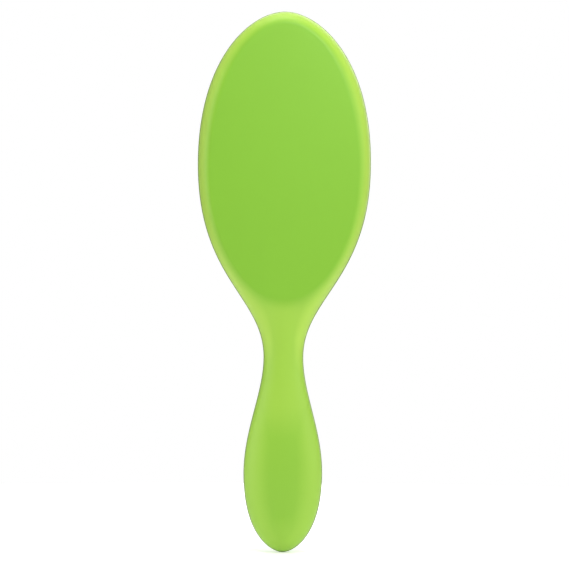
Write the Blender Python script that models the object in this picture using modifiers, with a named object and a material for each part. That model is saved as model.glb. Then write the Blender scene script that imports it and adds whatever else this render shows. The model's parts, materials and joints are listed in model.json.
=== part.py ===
"""Oval-headed slicker brush: a two-shell moulded body, a sprung rubber pad and rows of bent wire pins.

The brush stands upright. +Z runs from the handle to the head, the smooth back faces -Y and the pins
point to +Y. The origin is the middle of the grip, on the parting plane between the two shells.
All sizes are in metres.
"""

from math import atan2, cos, pi, sin, sqrt

import bmesh
import bpy
from mathutils import Vector

# Silhouette, as half-widths (X) and heights (Z)
TIP_Z = -0.0325
GRIP_Z = 0.0
WAIST_Z = 0.0475
HEAD_Z = 0.1272
TOP_Z = 0.1895
GRIP_HALF_WIDTH = 0.01616
WAIST_HALF_WIDTH = 0.00816
HEAD_HALF_WIDTH = 0.03557

# How far each stretch of the silhouette keeps the direction it starts and ends with
TIP_BLUNTNESS = 0.0052
GRIP_BELOW = 0.0250
GRIP_ABOVE = 0.0179
WAIST_BELOW = 0.0148
WAIST_ABOVE = 0.0249
HEAD_BELOW = 0.0479
HEAD_ABOVE = 0.0436
TOP_BLUNTNESS = 0.0139

# Depths of the body, measured from the parting plane
TIP_CREST_Z = -0.0185
TIP_DEPTH = 0.0080
GRIP_DEPTH = 0.0088
WAIST_DEPTH = 0.0063
BACK_DEPTH = 0.0090
FRONT_DEPTH = 0.0065
WALL = 0.0022
LIP = 0.0020
GAP = 0.0003

# Flat oval of the head: half-width, and heights above and below its centre
OVAL_Z = 0.1242
OVAL_HALF_WIDTH = 0.0300
OVAL_ABOVE = 0.0595
OVAL_BELOW = 0.0524
RIM_WIDTH = 0.0057
LAND = 0.0020

# Cushion pad, seen from the opening's edge inwards
PAD_FLANGE = 0.0023
PAD_FLANGE_THICKNESS = 0.0012
PAD_CLEARANCE = 0.0004
PAD_SIDE = 0.0022
PAD_SHOULDER = 0.0026
PAD_RISE = 0.0022
PAD_CROWN = 0.0016
PAD_CEILING = 0.0024

# Frame, card and foam behind the pad
FRAME_INSET = 0.0014
FRAME_STEP = 0.0014
FRAME_FLANGE_THICKNESS = 0.0015
CARD_INSET = 0.0036
CARD_THICKNESS = 0.0008

# Wire pins
WIRE = 0.0004
ROW_PITCH = 0.0042
PIN_PITCH = 0.0042
FIELD_INSET = 0.0055
FIELD_END = 0.0028
SLOT_CLEARANCE = 0.0003
BEND_ABOVE_PAD = 0.0092
BENT_HEIGHT = 0.0056
BENT_REACH = 0.0025

# Smoothness
SIDE_STEPS = 6
OVAL_POINTS = 40
TIP_STEPS = 8
HANDLE_STEPS = 6
NECK_STEPS = 4
OVAL_STEPS = 11
CROWN_STEPS = 11

# Heights in the stack of the head, worked out from the sizes above
OVAL_START_Z = OVAL_Z - OVAL_BELOW
OPENING = (OVAL_HALF_WIDTH - LAND, OVAL_ABOVE - LAND, OVAL_BELOW - LAND)
FLANGE_TOP = FRONT_DEPTH - LIP - GAP
FLANGE_BOTTOM = FLANGE_TOP - PAD_FLANGE_THICKNESS
FLOOR = -(BACK_DEPTH - WALL) + GAP
SHOULDER_Y = FRONT_DEPTH + PAD_RISE
CROWN_Y = SHOULDER_Y + PAD_CROWN
CEILING_Y = SHOULDER_Y - PAD_CEILING
RAIL_TOP = CEILING_Y - GAP
RAIL_BOTTOM = RAIL_TOP - WIRE
CARD_TOP = RAIL_BOTTOM - GAP
CARD_BOTTOM = CARD_TOP - CARD_THICKNESS
BEND_Y = CROWN_Y + BEND_ABOVE_PAD
PIN_TIP_Y = BEND_Y + BENT_HEIGHT

SOFT_GREEN = ((0.27, 0.60, 0.075, 1), 0.45, 0.0)
BLACK_RUBBER = ((0.022, 0.023, 0.025, 1), 0.70, 0.0)
DARK_PLASTIC = ((0.05, 0.05, 0.055, 1), 0.55, 0.0)
GREY_FOAM = ((0.30, 0.30, 0.31, 1), 0.95, 0.0)
FIBRE_CARD = ((0.34, 0.25, 0.15, 1), 0.85, 0.0)
STEEL_WIRE = ((0.60, 0.60, 0.62, 1), 0.28, 1.0)


def clear_scene():
    """Remove whatever the file opened with."""
    for old in list(bpy.data.objects):
        bpy.data.objects.remove(old)


def finish(name, look):
    """A Principled material from a colour, a roughness and a metallic value."""
    colour, roughness, metallic = look
    made = bpy.data.materials.new(name)
    made.use_nodes = True
    shader = made.node_tree.nodes["Principled BSDF"]
    shader.inputs["Base Color"].default_value = colour
    shader.inputs["Roughness"].default_value = roughness
    shader.inputs["Metallic"].default_value = metallic
    return made


def empty(name, collection, place):
    """An empty that carries the pieces of one body."""
    made = bpy.data.objects.new(name, None)
    made.location = place
    collection.objects.link(made)
    return made


def piece(name, mesh, collection, look, carrier, place):
    """An object at a world place, carried by an empty, with its own material."""
    made = bpy.data.objects.new(name, mesh)
    collection.objects.link(made)
    made.parent = carrier
    made.location = Vector(place) - carrier.location
    mesh.materials.append(finish(name, look))
    mesh.shade_smooth()
    mesh.set_sharp_from_angle(angle=0.6)
    return made


def mesh_from(name, bm):
    """Close a bmesh into a mesh whose faces point outwards."""
    bmesh.ops.remove_doubles(bm, verts=bm.verts, dist=1e-6)
    loose = [vert for vert in bm.verts if not vert.link_faces]
    bmesh.ops.delete(bm, geom=loose, context="VERTS")
    if signed_volume(bm) < 0:
        bmesh.ops.reverse_faces(bm, faces=bm.faces)
    mesh = bpy.data.meshes.new(name)
    bm.to_mesh(mesh)
    bm.free()
    return mesh


def signed_volume(bm):
    """Six times the volume inside the faces; an opening in the plane x = 0 adds nothing to it."""
    total = 0.0
    for face in bm.faces:
        first, *rest = [vert.co for vert in face.verts]
        for second, third in zip(rest, rest[1:]):
            total += first.dot(second.cross(third))
    return total


def ease(share):
    """Rise from 0 to 1 that starts and ends level."""
    return share * share * (3 - 2 * share)


def bezier(points, share):
    """Point of a cubic curve, and its direction."""
    rest = 1 - share
    weights = (rest**3, 3 * rest * rest * share, 3 * rest * share * share, share**3)
    slopes = (-rest * rest, rest * (1 - 3 * share), share * (2 - 3 * share), share * share)
    place = sum((Vector(point) * w for point, w in zip(points, weights)), Vector((0, 0)))
    along = sum((Vector(point) * w for point, w in zip(points, slopes)), Vector((0, 0)))
    return place, along.normalized()


def silhouette():
    """Edge points from the tip to the top, each with the direction that points into the brush.

    Also returns the number of the point that lies level with the lower end of the head's oval.
    """
    tip_end = ((0, TIP_Z), (TIP_BLUNTNESS, TIP_Z),
               (GRIP_HALF_WIDTH, GRIP_Z - GRIP_BELOW), (GRIP_HALF_WIDTH, GRIP_Z))
    handle = ((GRIP_HALF_WIDTH, GRIP_Z), (GRIP_HALF_WIDTH, GRIP_Z + GRIP_ABOVE),
              (WAIST_HALF_WIDTH, WAIST_Z - WAIST_BELOW), (WAIST_HALF_WIDTH, WAIST_Z))
    shoulder = ((WAIST_HALF_WIDTH, WAIST_Z), (WAIST_HALF_WIDTH, WAIST_Z + WAIST_ABOVE),
                (HEAD_HALF_WIDTH, HEAD_Z - HEAD_BELOW), (HEAD_HALF_WIDTH, HEAD_Z))
    crown = ((HEAD_HALF_WIDTH, HEAD_Z), (HEAD_HALF_WIDTH, HEAD_Z + HEAD_ABOVE),
             (TOP_BLUNTNESS, TOP_Z), (0, TOP_Z))
    neck = [WAIST_Z + (OVAL_START_Z - WAIST_Z) * k / NECK_STEPS for k in range(1, NECK_STEPS + 1)]
    turns = [pi / 2 * k / OVAL_STEPS for k in range(1, OVAL_STEPS + 1)]
    cheek = [OVAL_Z - OVAL_BELOW * cos(turn) for turn in turns]
    places = [bezier(tip_end, k / TIP_STEPS) for k in range(TIP_STEPS)]
    places += [bezier(handle, k / HANDLE_STEPS) for k in range(HANDLE_STEPS + 1)]
    places += [bezier(shoulder, share_at_height(shoulder, z)) for z in neck + cheek]
    places += [bezier(crown, k / CROWN_STEPS) for k in range(CROWN_STEPS + 1)]
    edge = [(place, Vector((-along.y, along.x))) for place, along in places]
    return edge, TIP_STEPS + HANDLE_STEPS + NECK_STEPS


def share_at_height(points, height):
    """Where along a rising curve it passes a height, by halving."""
    low, high = 0.0, 1.0
    for _ in range(40):
        middle = (low + high) / 2
        if bezier(points, middle)[0].y < height:
            low = middle
        else:
            high = middle
    return low


def crest_of(edge):
    """Where the side that rises from a silhouette point ends: on the handle's crest or on the oval."""
    if edge.y <= GRIP_Z:
        share = (edge.y - TIP_Z) / (GRIP_Z - TIP_Z)
        return Vector((0, TIP_CREST_Z + (GRIP_Z - TIP_CREST_Z) * share))
    if edge.y <= OVAL_Z:
        drop = min(1, (OVAL_Z - edge.y) / OVAL_BELOW)
        return Vector((OVAL_HALF_WIDTH * sqrt(1 - drop**2), edge.y))
    angle = atan2((edge.y - OVAL_Z) / (OVAL_ABOVE + RIM_WIDTH), edge.x / (OVAL_HALF_WIDTH + RIM_WIDTH))
    return Vector((OVAL_HALF_WIDTH * cos(angle), OVAL_Z + OVAL_ABOVE * sin(angle)))


def crest_depth(height, head_depth):
    """Depth of the body along its middle, from the tip to the head's oval."""
    if height <= GRIP_Z:
        return TIP_DEPTH + (GRIP_DEPTH - TIP_DEPTH) * ease((height - TIP_CREST_Z) / (GRIP_Z - TIP_CREST_Z))
    if height <= WAIST_Z:
        return GRIP_DEPTH + (WAIST_DEPTH - GRIP_DEPTH) * ease((height - GRIP_Z) / (WAIST_Z - GRIP_Z))
    share = min(1, (height - WAIST_Z) / (OVAL_START_Z - WAIST_Z))
    return WAIST_DEPTH + (head_depth - WAIST_DEPTH) * share**2


def side(edge, crest, start, depth, power):
    """Points of the rounded side from the parting plane up to the crest, both ends included."""
    points = []
    for step in range(SIDE_STEPS + 1):
        turn = pi / 2 * step / SIDE_STEPS
        out = max(0, cos(turn)) ** (2 / power)
        up = sin(turn) ** (2 / power)
        flat = crest + (edge - crest) * out
        points.append(Vector((flat.x, start + (depth - start) * up, flat.y)))
    return points


def inset_crest(crest, amount):
    """A point of the oval moved towards the oval's middle, across the land of the opening."""
    from_centre = crest - Vector((0, OVAL_Z))
    reach = OVAL_ABOVE if from_centre.y > 0 else OVAL_BELOW
    share_x = (OVAL_HALF_WIDTH - amount) / OVAL_HALF_WIDTH
    share_z = (reach - amount) / reach
    return Vector((from_centre.x * share_x, OVAL_Z + from_centre.y * share_z))


def half_shell(name, facing, head_depth, head_power, is_open):
    """Right half of a shell, open at x = 0; facing is -1 for the back shell and 1 for the front one.

    The back shell closes the oval with a flat wall. The front shell leaves it open, inside a flat land.
    """
    edge, neck_index = silhouette()
    start = GAP / 2
    bm = bmesh.new()
    rows = []
    for place, inward in edge:
        crest = crest_of(place)
        depth = crest_depth(crest.y, head_depth)
        lean = ease(min(1, max(0, (place.y - WAIST_Z) / (HEAD_Z - WAIST_Z))))
        power = 2 + (head_power - 2) * lean
        floor = depth - (LIP if is_open else WALL)
        middle = inset_crest(crest, LAND) if is_open else Vector((0, crest.y))
        outer = side(place, crest, start, depth, power)
        inner = side(place + inward * WALL, crest, start, floor, power)
        bridge = [Vector((middle.x, depth, middle.y)), Vector((middle.x, floor, middle.y))]
        section = outer + bridge + inner[::-1]
        rows.append([bm.verts.new((p.x, facing * p.y, p.z)) for p in section])
    crest_bridge = (SIDE_STEPS, SIDE_STEPS + 1, SIDE_STEPS + 2)
    for index, (row, following) in enumerate(zip(rows, rows[1:])):
        for k in range(len(row)):
            on_handle = index < neck_index and k in crest_bridge
            across_middle = not is_open and k == crest_bridge[1]
            if on_handle or across_middle:
                continue
            n = (k + 1) % len(row)
            bm.faces.new((row[k], row[n], following[n], following[k]))
    return mesh_from(name, bm)


def mirrored(shell):
    """Complete a half shell across x = 0."""
    mirror = shell.modifiers.new("Other half", "MIRROR")
    mirror.use_axis = (True, False, False)
    mirror.use_clip = False
    mirror.merge_threshold = 0.00001
    return shell


def oval(inset, y, scale=1.0):
    """Ring of points parallel to the opening's edge, or a smaller copy of it, about the oval's centre."""
    half_width, above, below = (size - inset for size in OPENING)
    ring = []
    for k in range(OVAL_POINTS):
        angle = 2 * pi * k / OVAL_POINTS
        reach = above if sin(angle) > 0 else below
        ring.append(Vector((scale * half_width * cos(angle), y, scale * reach * sin(angle))))
    return ring


def stacked(name, rings, is_ring=False):
    """Closed solid through a stack of ovals, with flat ends, or turned back on itself as a ring."""
    bm = bmesh.new()
    levels = [[bm.verts.new(point) for point in ring] for ring in rings]
    pairs = list(zip(levels, levels[1:]))
    if is_ring:
        pairs.append((levels[-1], levels[0]))
    for low, high in pairs:
        for k in range(OVAL_POINTS):
            n = (k + 1) % OVAL_POINTS
            bm.faces.new((low[k], low[n], high[n], high[k]))
    if not is_ring:
        bm.faces.new(levels[0][::-1])
        bm.faces.new(levels[-1])
    bmesh.ops.recalc_face_normals(bm, faces=bm.faces)
    return mesh_from(name, bm)


def pad_rings():
    """Sections of the rubber pad, from its hollow underside round the flange and up over the crown."""
    ceiling = PAD_CLEARANCE + PAD_SIDE
    rings = [oval(ceiling, CEILING_Y), oval(ceiling, FLANGE_BOTTOM), oval(-PAD_FLANGE, FLANGE_BOTTOM),
             oval(-PAD_FLANGE, FLANGE_TOP), oval(PAD_CLEARANCE, FLANGE_TOP)]
    rise = SHOULDER_Y - FRONT_DEPTH
    for step in range(3):
        turn = pi / 2 * step / 3
        rings.append(oval(PAD_CLEARANCE + PAD_SHOULDER * (1 - cos(turn)), FRONT_DEPTH + rise * sin(turn)))
    for scale in (1.0, 0.78, 0.45):
        inset = PAD_CLEARANCE + PAD_SHOULDER
        rings.append(oval(inset, SHOULDER_Y + PAD_CROWN * (1 - scale**2), scale))
    rings.append(oval(PAD_CLEARANCE + PAD_SHOULDER, CROWN_Y, 0.12))
    return rings


def frame_rings():
    """L-shaped section of the frame that stands on the back shell and clamps the pad's flange."""
    top = FLANGE_BOTTOM - GAP
    step = top - FRAME_FLANGE_THICKNESS
    outer = -(PAD_FLANGE - FRAME_STEP)
    return [oval(FRAME_INSET, FLOOR), oval(outer, FLOOR), oval(outer, step),
            oval(-PAD_FLANGE, step), oval(-PAD_FLANGE, top), oval(FRAME_INSET, top)]


def row_heights():
    """Z of each row of pins, measured from the oval's centre, lowest first."""
    lowest = -(OPENING[2] - FIELD_INSET - FIELD_END)
    highest = OPENING[1] - FIELD_INSET - FIELD_END
    count = int((highest - lowest) / ROW_PITCH) + 1
    start = (lowest + highest - (count - 1) * ROW_PITCH) / 2
    return [start + k * ROW_PITCH for k in range(count)]


def pins_in_row(index, height):
    """X of each pin in a row; every other row is shifted by half a pitch."""
    reach = (OPENING[1] if height > 0 else OPENING[2]) - FIELD_INSET
    half_length = (OPENING[0] - FIELD_INSET) * sqrt(1 - (height / reach) ** 2)
    shift = PIN_PITCH / 2 if index % 2 else 0
    span = range(-20, 21)
    return [k * PIN_PITCH + shift for k in span if abs(k * PIN_PITCH + shift) <= half_length]


def pin_row(name, pins):
    """One row as a single solid: bent square wires that rise from the crown wire behind the pad."""
    half = WIRE / 2
    bm = bmesh.new()
    sides = (-half, half)
    stops = sorted([x + s * half for x in pins for s in (-1, 1)])
    low = [[bm.verts.new((x, RAIL_BOTTOM - RAIL_TOP, z)) for z in sides] for x in stops]
    high = [[bm.verts.new((x, 0, z)) for z in sides] for x in stops]
    for k in range(len(stops) - 1):
        bm.faces.new((low[k][0], low[k + 1][0], low[k + 1][1], low[k][1]))
        bm.faces.new((low[k][0], high[k][0], high[k + 1][0], low[k + 1][0]))
        bm.faces.new((low[k][1], low[k + 1][1], high[k + 1][1], high[k][1]))
        if k % 2:
            bm.faces.new((high[k][0], high[k][1], high[k + 1][1], high[k + 1][0]))
    for k in (0, -1):
        bm.faces.new((low[k][0], low[k][1], high[k][1], high[k][0]))
    bend = BEND_Y - RAIL_TOP
    tip = PIN_TIP_Y - RAIL_TOP
    for k in range(0, len(stops), 2):
        left, right = stops[k], stops[k + 1]
        ring = [high[k][0], high[k + 1][0], high[k + 1][1], high[k][1]]
        for level, lean in ((bend, 0), (tip, -BENT_REACH)):
            upper = [bm.verts.new((x, level, z + lean))
                     for x, z in ((left, -half), (right, -half), (right, half), (left, half))]
            for a in range(4):
                b = (a + 1) % 4
                bm.faces.new((ring[a], ring[b], upper[b], upper[a]))
            ring = upper
        bm.faces.new(ring)
    bmesh.ops.recalc_face_normals(bm, faces=bm.faces)
    return mesh_from(name, bm)


def slot_cutter(rows, collection):
    """One narrow box for each row, through the pad's ceiling."""
    bm = bmesh.new()
    half_width = WIRE / 2 + SLOT_CLEARANCE
    for height, pins in rows:
        half_length = max(abs(x) for x in pins) + half_width
        middle_y = (CEILING_Y + CROWN_Y) / 2
        box = bmesh.ops.create_cube(bm, size=1)["verts"]
        size = Vector((2 * half_length, 2 * (CROWN_Y - CEILING_Y), 2 * half_width))
        bmesh.ops.scale(bm, verts=box, vec=size)
        bmesh.ops.translate(bm, verts=box, vec=(0, middle_y, height))
    cutter = bpy.data.objects.new("pin_slots", mesh_from("pin_slots", bm))
    cutter.location = (0, 0, OVAL_Z)
    cutter.hide_render = True
    cutter.display_type = "WIRE"
    collection.objects.link(cutter)
    return cutter


def build():
    """Make every piece of the brush."""
    clear_scene()
    brush = bpy.data.collections.new("slicker_brush")
    cutters = bpy.data.collections.new("cutters")
    cutters.hide_render = True
    for made in (brush, cutters):
        bpy.context.scene.collection.children.link(made)
    housing = empty("housing", brush, (0, 0, 0))
    pin_bed = empty("pin_bed", brush, (0, RAIL_TOP, OVAL_Z))

    back = half_shell("back_shell", -1, BACK_DEPTH, 1.75, False)
    front = half_shell("front_shell", 1, FRONT_DEPTH, 2.0, True)
    mirrored(piece("back_shell", back, brush, SOFT_GREEN, housing, (0, 0, 0)))
    mirrored(piece("front_shell", front, brush, SOFT_GREEN, housing, (0, 0, 0)))

    head = (0, 0, OVAL_Z)
    frame = stacked("cushion_frame", frame_rings(), is_ring=True)
    piece("cushion_frame", frame, brush, DARK_PLASTIC, housing, head)
    foam_top = CARD_BOTTOM - GAP
    foam = stacked("foam_pad", [oval(CARD_INSET, FLOOR), oval(CARD_INSET, foam_top)])
    piece("foam_pad", foam, brush, GREY_FOAM, housing, head)
    pad = piece("cushion_pad", stacked("cushion_pad", pad_rings()), brush, BLACK_RUBBER, housing, head)
    card = stacked("pin_card", [oval(CARD_INSET, -CARD_THICKNESS / 2), oval(CARD_INSET, CARD_THICKNESS / 2)])
    piece("pin_card", card, brush, FIBRE_CARD, pin_bed, (0, (CARD_TOP + CARD_BOTTOM) / 2, OVAL_Z))

    heights = row_heights()
    rows = [(height, pins_in_row(k, height)) for k, height in enumerate(heights)]
    for number, (height, pins) in enumerate(rows, start=1):
        name = f"pin_row_{number:02d}"
        piece(name, pin_row(name, pins), brush, STEEL_WIRE, pin_bed, (0, RAIL_TOP, OVAL_Z + height))
    cut = pad.modifiers.new("Pin slots", "BOOLEAN")
    cut.operation = "DIFFERENCE"
    cut.object = slot_cutter(rows, cutters)


build()
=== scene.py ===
"""Looks of an oval slicker brush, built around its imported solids.

The brush stands upright in the frame's own axes: +Z from the handle to the head, the smooth back faces -Y
and the wire pins point to +Y. All sizes are in metres.
"""

import json
import logging
from collections.abc import Sequence
from dataclasses import dataclass, field
from enum import Enum
from math import pi

import bmesh
import bpy
import numpy as np
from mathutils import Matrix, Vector

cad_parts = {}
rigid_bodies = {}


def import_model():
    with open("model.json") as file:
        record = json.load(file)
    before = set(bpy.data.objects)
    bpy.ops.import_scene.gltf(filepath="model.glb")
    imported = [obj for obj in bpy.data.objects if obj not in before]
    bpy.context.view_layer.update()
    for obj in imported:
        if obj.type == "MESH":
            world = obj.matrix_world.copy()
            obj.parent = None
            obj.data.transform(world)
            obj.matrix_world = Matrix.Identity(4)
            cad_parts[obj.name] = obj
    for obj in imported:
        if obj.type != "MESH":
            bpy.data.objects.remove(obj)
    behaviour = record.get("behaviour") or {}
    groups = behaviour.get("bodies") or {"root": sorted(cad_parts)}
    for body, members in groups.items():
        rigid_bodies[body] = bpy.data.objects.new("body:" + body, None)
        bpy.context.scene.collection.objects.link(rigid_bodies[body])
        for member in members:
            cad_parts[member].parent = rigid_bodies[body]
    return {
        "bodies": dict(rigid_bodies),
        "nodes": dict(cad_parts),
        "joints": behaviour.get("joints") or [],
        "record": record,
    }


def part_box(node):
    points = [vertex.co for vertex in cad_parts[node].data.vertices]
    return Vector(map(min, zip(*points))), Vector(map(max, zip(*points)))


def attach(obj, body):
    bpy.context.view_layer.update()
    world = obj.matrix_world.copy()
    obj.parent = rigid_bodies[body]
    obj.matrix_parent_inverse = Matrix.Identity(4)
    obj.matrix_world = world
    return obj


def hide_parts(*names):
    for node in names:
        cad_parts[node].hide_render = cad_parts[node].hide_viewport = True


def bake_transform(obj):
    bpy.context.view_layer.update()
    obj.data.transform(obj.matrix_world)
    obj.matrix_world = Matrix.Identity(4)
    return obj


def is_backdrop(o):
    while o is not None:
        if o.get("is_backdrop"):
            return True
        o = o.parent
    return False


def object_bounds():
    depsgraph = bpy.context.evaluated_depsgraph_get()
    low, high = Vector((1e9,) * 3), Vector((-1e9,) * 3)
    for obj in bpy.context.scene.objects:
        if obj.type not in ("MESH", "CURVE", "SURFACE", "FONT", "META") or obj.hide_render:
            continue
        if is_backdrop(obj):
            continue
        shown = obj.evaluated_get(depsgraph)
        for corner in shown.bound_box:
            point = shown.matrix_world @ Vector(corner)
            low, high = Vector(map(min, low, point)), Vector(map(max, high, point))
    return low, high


Colour = tuple[float, float, float, float]
Socket = bpy.types.NodeSocket | float
log = logging.getLogger("slicker_brush")

MERGE_DISTANCE = 2e-6  # Points closer than this become one.
SLIVER = 1e-7  # Edges shorter than this are dissolved.
CREASE_ANGLE = 0.7  # Edges between faces that meet more steeply are shaded sharp.
TINY = 1e-9  # Keeps a division from running into zero.
BLOCK = 2000  # Points that are measured at a time.


class Side(Enum):
    """Which way a body shell faces along Y."""

    BACK = -1
    FRONT = 1


class Body(Enum):
    """The two rigid bodies of the frame."""

    HOUSING = "housing"
    PIN_BED = "pin_bed"


# ---------------------------------------------------------------------------------------------------------
# Shader building


class Signal:
    """A shader socket that adds Math nodes when it is used in a Python expression."""

    def __init__(self, shader: "Shader", socket: bpy.types.NodeSocket) -> None:
        """Wrap a socket of a shader's tree."""
        self.shader = shader
        self.socket = socket

    def _math(self, operation: str, first: "Signal | float", second: "Signal | float") -> "Signal":
        """Add one Math node and return what comes out of it."""
        return self.shader.node("ShaderNodeMath", {"operation": operation}, {0: first, 1: second})

    def __add__(self, other: "Signal | float") -> "Signal":
        """Sum."""
        return self._math("ADD", self, other)

    __radd__ = __add__

    def __sub__(self, other: "Signal | float") -> "Signal":
        """Difference."""
        return self._math("SUBTRACT", self, other)

    def __rsub__(self, other: float) -> "Signal":
        """Difference, with the number in front."""
        return self._math("SUBTRACT", other, self)

    def __mul__(self, other: "Signal | float") -> "Signal":
        """Product."""
        return self._math("MULTIPLY", self, other)

    __rmul__ = __mul__

    def span(self, low: float, high: float, to_low: float = 0.0, to_high: float = 1.0) -> "Signal":
        """Bring the signal smoothly from one range to another, held at its ends.

        Args:
            low: where the first range starts.
            high: where it ends.
            to_low: where the second range starts.
            to_high: where it ends.

        Returns:
            The signal in its new range.
        """
        return self.shader.node(
            "ShaderNodeMapRange",
            {"interpolation_type": "SMOOTHSTEP", "clamp": True},
            {"Value": self, "From Min": low, "From Max": high, "To Min": to_low, "To Max": to_high},
        )


class NodeBuilder:
    """Adds nodes to a tree."""

    def __init__(self, tree: bpy.types.NodeTree) -> None:
        """Take the tree that the nodes are added to."""
        self.tree = tree

    def make(self, kind: str, settings: dict | None, sockets: dict | None) -> bpy.types.Node:
        """Add a node.

        Args:
            kind: the node's type.
            settings: its properties, which are set first.
            sockets: what feeds each input, by name or number.

        Returns:
            The node.
        """
        made = self.tree.nodes.new(kind)
        for key, value in (settings or {}).items():
            setattr(made, key, value)
        for key, value in (sockets or {}).items():
            self.feed(made.inputs[key], value)
        return made

    def feed(self, socket: bpy.types.NodeSocket, value: "Signal | Socket | Sequence[float]") -> None:
        """Link something to an input, or set the input's value.

        Args:
            socket: the input to feed.
            value: a signal, another socket, a number or a colour.
        """
        source = value.socket if isinstance(value, Signal) else value
        if isinstance(source, bpy.types.NodeSocket):
            self.tree.links.new(source, socket)
        else:
            socket.default_value = source


class Shader(NodeBuilder):
    """A material with one Principled shader."""

    def __init__(self, name: str) -> None:
        """Start a material.

        Args:
            name: the material's name.
        """
        self.material = bpy.data.materials.new(name)
        self.material.use_nodes = True
        super().__init__(self.material.node_tree)
        self.principled = self.tree.nodes["Principled BSDF"]

    def node(self, kind: str, settings: dict | None = None, sockets: dict | None = None,
             output: int | str = 0) -> Signal:
        """Add a node and take one of its outputs as a signal."""
        return Signal(self, self.make(kind, settings, sockets).outputs[output])

    def surface(self, **sockets: "Signal | float | Sequence[float]") -> bpy.types.Material:
        """Fill the Principled shader's sockets.

        Args:
            sockets: a value or a signal for each input, named in small letters with underscores.

        Returns:
            The finished material.
        """
        for key, value in sockets.items():
            self.feed(self.principled.inputs[key.replace("_", " ").title().replace("Ior", "IOR")], value)
        return self.material

    def place(self, scale: Sequence[float] = (1, 1, 1)) -> Signal:
        """Object coordinates, stretched along the axes."""
        coordinates = self.node("ShaderNodeTexCoord", output="Object")
        return self.node("ShaderNodeMapping", None, {"Vector": coordinates, "Scale": scale})

    def noise(self, scale: float, detail: float = 2.0, stretch: Sequence[float] = (1, 1, 1)) -> Signal:
        """Soft noise about 0.5, with so many waves to the metre."""
        return self.node("ShaderNodeTexNoise", None,
                         {"Vector": self.place(stretch), "Scale": scale, "Detail": detail})

    def cells(self, scale: float) -> Signal:
        """Distance to the middle of the nearest cell, with so many cells to the metre."""
        return self.node("ShaderNodeTexVoronoi", None, {"Vector": self.place(), "Scale": scale})

    def attribute(self, name: str) -> Signal:
        """Read a number that is stored on the mesh."""
        return self.node("ShaderNodeAttribute", {"attribute_name": name}, output="Fac")

    def blend(self, share: "Signal | float", first: "Signal | Colour", second: "Signal | Colour") -> Signal:
        """Mix two colours."""
        return self.node("ShaderNodeMix", {"data_type": "RGBA"}, {0: share, 6: first, 7: second}, 2)

    def bump(self, height: Signal, depth: float, strength: float = 1.0) -> Signal:
        """Surface normal of a height from 0 to 1 that stands for a depth in metres."""
        return self.node("ShaderNodeBump", None, {"Height": height, "Distance": depth, "Strength": strength})


# ---------------------------------------------------------------------------------------------------------
# Finishes. A scale is a number of waves or cells to the metre, and a depth is in metres.


@dataclass(frozen=True)
class SoftTouchCoat:
    """Green soft-touch coat over moulded plastic, paler where it thins, with a dusty line along the seam."""

    base: Colour = (0.240, 0.548, 0.028, 1)
    thinned: Colour = (0.445, 0.715, 0.074, 1)
    dust: Colour = (0.230, 0.300, 0.130, 1)
    sheen_tint: Colour = (0.95, 1.0, 0.80, 1)
    roughness: float = 0.52
    mottle_scale: float = 22
    peel_scale: float = 900
    grain_scale: float = 5200
    mottle: float = 0.22
    mottle_tone: float = 0.93
    dust_cover: float = 0.85
    grain_depth: float = 0.000012

    def material(self) -> bpy.types.Material:
        """Build the coat.

        Returns:
            The finished material.
        """
        shader = Shader("soft_touch_green")
        mottle = shader.noise(self.mottle_scale, 3)
        grain = shader.noise(self.grain_scale, 2)
        peel = shader.noise(self.peel_scale, 1)
        thin = shader.attribute("coat_thinning")
        seam = shader.attribute("seam")
        coat = shader.blend(thin, self.base, self.thinned)
        deeper = tuple(channel * self.mottle_tone for channel in self.base[:3]) + (1,)
        toned = shader.blend(mottle.span(0.35, 0.75, 0.0, self.mottle) * (1 - thin), coat, deeper)
        return shader.surface(
            base_color=shader.blend(seam * self.dust_cover, toned, self.dust),
            roughness=self.roughness + (peel - 0.5) * 0.10 + (mottle - 0.5) * 0.06 + seam * 0.25,
            normal=shader.bump(grain * 0.55 + peel * 0.45, self.grain_depth, 0.6),
            specular_ior_level=0.50,
            sheen_weight=0.12,
            sheen_roughness=0.45,
            sheen_tint=self.sheen_tint,
        )


@dataclass(frozen=True)
class MouldedRubber:
    """Matte black rubber with a fine moulded grain and a faint bloom."""

    base: Colour = (0.020, 0.021, 0.023, 1)
    bloom: Colour = (0.052, 0.054, 0.057, 1)
    bloom_scale: float = 60
    grain_scale: float = 3000
    pore_scale: float = 1500
    grain_depth: float = 0.00004

    def material(self) -> bpy.types.Material:
        """Build the rubber.

        Returns:
            The finished material.
        """
        shader = Shader("pad_rubber")
        bloom = shader.noise(self.bloom_scale, 4)
        grain = shader.noise(self.grain_scale, 2)
        pores = shader.cells(self.pore_scale)
        return shader.surface(
            base_color=shader.blend(bloom.span(0.42, 0.72), self.base, self.bloom),
            roughness=0.62 + (bloom - 0.5) * 0.20 + (grain - 0.5) * 0.10,
            normal=shader.bump(grain * 0.7 + pores * 0.3, self.grain_depth, 0.7),
            specular_ior_level=0.45,
        )


@dataclass(frozen=True)
class DrawnSteel:
    """Stainless wire with fine drawing lines along its length."""

    base: Colour = (0.62, 0.62, 0.63, 1)
    shade: Colour = (0.44, 0.44, 0.46, 1)
    line_scale: float = 9000
    smear_scale: float = 700
    line_depth: float = 0.000006

    def material(self) -> bpy.types.Material:
        """Build the steel.

        Returns:
            The finished material.
        """
        shader = Shader("steel_wire")
        lines = shader.noise(self.line_scale, 2, (1, 0.05, 1))
        smear = shader.noise(self.smear_scale, 2)
        return shader.surface(
            base_color=shader.blend(lines.span(0.35, 0.70), self.base, self.shade),
            metallic=1.0,
            roughness=0.22 + lines * 0.12 + smear * 0.06,
            normal=shader.bump(lines, self.line_depth, 0.5),
        )


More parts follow.
